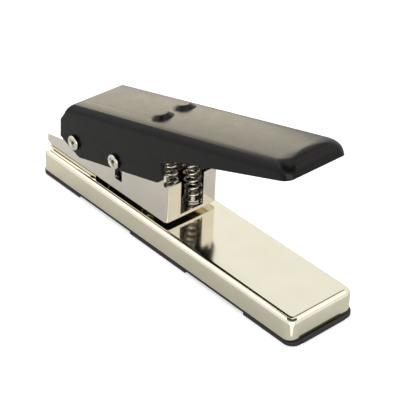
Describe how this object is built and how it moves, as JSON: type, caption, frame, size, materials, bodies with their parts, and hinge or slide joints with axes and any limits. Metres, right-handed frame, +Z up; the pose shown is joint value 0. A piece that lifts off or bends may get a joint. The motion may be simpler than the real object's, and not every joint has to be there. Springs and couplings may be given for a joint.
{
  "type": "guitar pick punch",
  "caption": "Desk punch with a long hollow base, a plated channel frame over a card slot, and a black folded lever that drives a pick-shaped blade down into a die.",
  "frame": {"origin": "on the table, under the middle of the machine's length and width", "axes": "+X runs along the base towards the free end of the lever, +Y across it, +Z up"},
  "size_m": [0.1712, 0.0374, 0.0806],
  "materials": {
    "nickel_plate": "polished nickel plate, warm in tone",
    "black_paint": "black satin baked paint",
    "black_plastic": "matt black moulding",
    "tool_steel": "ground hardened steel",
    "screw_steel": "nickel-plated steel",
    "spring_steel": "bright spring wire"
  },
  "bodies": {
    "base": {"base_shell": "nickel_plate", "bottom_pan": "black_plastic", "die_plate": "tool_steel", "die_screw_1": "screw_steel", "die_screw_2": "screw_steel", "die_screw_3": "screw_steel", "die_screw_4": "screw_steel", "throat_spacer": "nickel_plate", "press_frame": "nickel_plate", "frame_rivet_1": "screw_steel", "frame_rivet_2": "screw_steel", "frame_rivet_3": "screw_steel", "frame_rivet_4": "screw_steel", "pivot_spacer_tube": "screw_steel", "spring_post_left": "screw_steel", "spring_post_right": "screw_steel", "return_spring_left": "spring_steel", "return_spring_right": "spring_steel"},
    "lever_arm": {"lever": "black_paint", "pivot_sleeve": "screw_steel", "pivot_screw_left": "screw_steel", "pivot_screw_right": "screw_steel", "drive_pin": "screw_steel", "drive_screw_left": "screw_steel", "drive_screw_right": "screw_steel"},
    "punch_ram": {"punch_holder": "tool_steel", "pick_punch": "tool_steel", "punch_screw_rear": "screw_steel", "punch_screw_front": "screw_steel"}
  },
  "joints": [
    {"name": "lever_press", "type": "hinge", "parent": "base", "child": "lever_arm", "pos_m": [-0.0614, 0, 0.02682], "axis": [0, 1, 0], "range_deg": [0, 14], "stiffness_Nm_per_rad": 4, "springref_deg": -3.44, "deforming": ["return_spring_left", "return_spring_right"]},
    {"name": "punch_stroke", "type": "slide", "parent": "base", "child": "punch_ram", "axis": [0, 0, -1], "range_m": [0, 0.0072]}
  ],
  "couplings": [
    {"joint": "punch_stroke", "follows": "lever_press", "m_per_rad": 0.02939}
  ]
}
